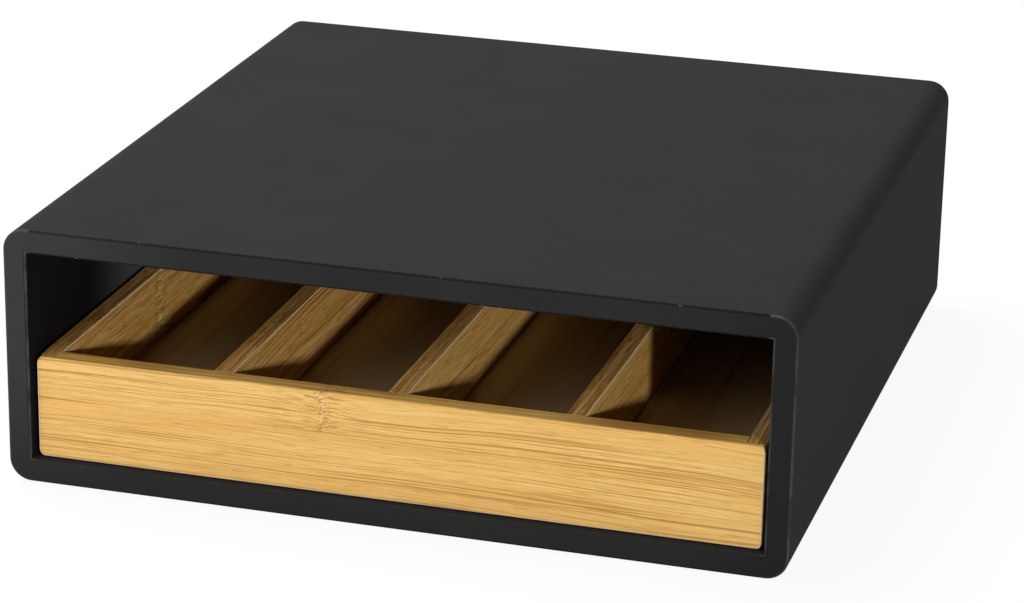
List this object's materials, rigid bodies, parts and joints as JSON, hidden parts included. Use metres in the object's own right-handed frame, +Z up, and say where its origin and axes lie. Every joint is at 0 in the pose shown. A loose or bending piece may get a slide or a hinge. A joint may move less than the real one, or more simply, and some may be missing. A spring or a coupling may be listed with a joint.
{
  "type": "coffee capsule drawer",
  "caption": "Low black box with rounded long edges and an open front, and a bamboo drawer divided into lanes for coffee capsules.",
  "frame": {"origin": "middle of the footprint, on the surface the pads stand on", "axes": "+X to the right seen from the front, +Y from the open front to the back, +Z up"},
  "size_m": [0.3, 0.31, 0.101],
  "materials": {
    "black_paint": "matt black paint on fibreboard",
    "bamboo": "satin lacquered bamboo",
    "beech": "bare beech",
    "pad_rubber": "matt"
  },
  "bodies": {
    "casing": {"top_panel": "black_paint", "bottom_panel": "black_paint", "left_panel": "black_paint", "right_panel": "black_paint", "back_panel": "black_paint", "casing_dowels": "beech", "back_panel_dowels": "beech", "front_left_pad": "pad_rubber", "front_right_pad": "pad_rubber", "rear_left_pad": "pad_rubber", "rear_right_pad": "pad_rubber"},
    "drawer": {"drawer_front": "bamboo", "drawer_back": "bamboo", "drawer_left_side": "bamboo", "drawer_right_side": "bamboo", "drawer_bottom": "bamboo", "left_divider": "bamboo", "middle_divider": "bamboo", "right_divider": "bamboo", "drawer_corner_dowels": "beech", "divider_dowels": "beech"}
  },
  "joints": [
    {"name": "drawer_slide", "type": "slide", "parent": "casing", "child": "drawer", "axis": [0, -1, 0], "range_m": [0, 0.25]}
  ]
}
